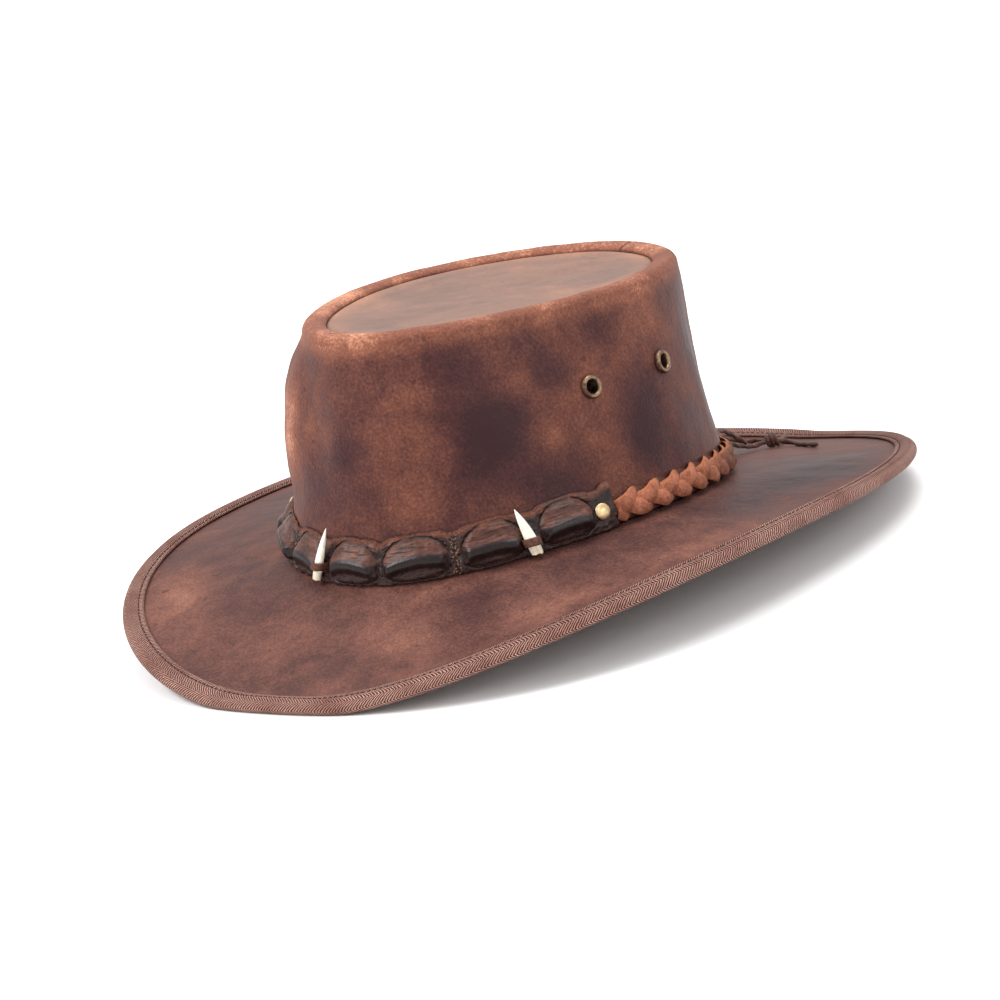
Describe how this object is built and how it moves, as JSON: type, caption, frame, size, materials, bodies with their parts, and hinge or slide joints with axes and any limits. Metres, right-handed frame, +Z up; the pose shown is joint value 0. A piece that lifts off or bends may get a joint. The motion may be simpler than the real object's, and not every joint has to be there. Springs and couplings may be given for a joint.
{
  "type": "bush hat",
  "caption": "Wide-brimmed leather bush hat with a flat-topped crown, bound brim edge, crocodile band with teeth, side eyelets and a braid tied behind.",
  "frame": {"origin": "bottom centre of the hat's bounding box, on the surface that the brim rests on", "axes": "-Y is the hat's front, +X the wearer's left, +Z up out of the crown"},
  "size_m": [0.3078, 0.3686, 0.1314],
  "materials": {
    "crown_leather": "waxed and mottled, tan where it is pulled",
    "tip_leather": "waxed, lighter and dustier than the wall",
    "brim_leather": "waxed, dark with scuffs",
    "binding_twill": "woven herringbone tape",
    "crocodile": "glossy dark scutes on wrinkled brown skin",
    "braid_suede": "rough suede",
    "lace_leather": "worn smooth lace",
    "tooth": "natural ivory white tooth",
    "loop_leather": "matt brown strap",
    "antique_brass": "antique, dark in its hollows",
    "brass": "domed and worn bright"
  },
  "bodies": {
    "root": {"crown_side": "crown_leather", "crown_tip": "tip_leather", "brim": "brim_leather", "brim_binding": "binding_twill", "eyelet_left_front": "antique_brass", "eyelet_left_rear": "antique_brass", "eyelet_right_front": "antique_brass", "eyelet_right_rear": "antique_brass", "band_strip_left": "crocodile", "band_strip_front": "crocodile", "band_strip_right": "crocodile", "rivet_left": "brass", "rivet_right": "brass", "tooth_left": "tooth", "tooth_front": "tooth", "tooth_loop_left": "loop_leather", "tooth_loop_front": "loop_leather", "braid_left": "braid_suede", "braid_right": "braid_suede", "tie_end": "lace_leather", "tie_lace_upper": "lace_leather", "tie_lace_lower": "lace_leather", "tie_tail_short": "lace_leather", "tie_tail_long": "lace_leather", "tie_knot": "lace_leather"}
  },
  "joints": []
}
